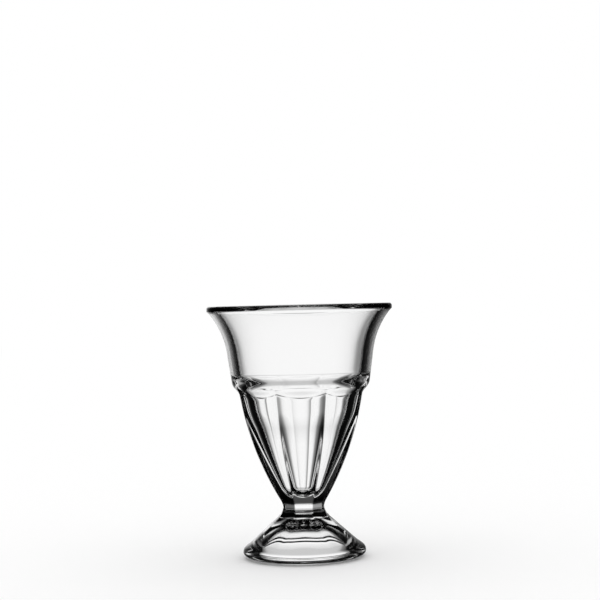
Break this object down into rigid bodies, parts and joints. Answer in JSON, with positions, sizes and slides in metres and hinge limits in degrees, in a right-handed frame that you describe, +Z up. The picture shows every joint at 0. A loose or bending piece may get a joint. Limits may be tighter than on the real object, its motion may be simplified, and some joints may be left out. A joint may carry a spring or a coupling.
{
  "type": "parfait glass",
  "caption": "Clear pressed-glass dessert glass with a flared, banded rim, a fluted conical bowl, a short waisted stem and a round hollow foot; holds a layered dessert.",
  "frame": {"origin": "on the glass axis, in the plane that the ring of the foot rests on", "axes": "+Z up the glass axis to the rim; a flute faces -Y, which is towards the camera of the picture"},
  "size_m": [0.1, 0.1, 0.136],
  "materials": {
    "clear_glass": "fire-polished clear soda-lime glass"
  },
  "bodies": {
    "root": {"bowl": "clear_glass", "stem": "clear_glass", "foot": "clear_glass"}
  },
  "joints": []
}
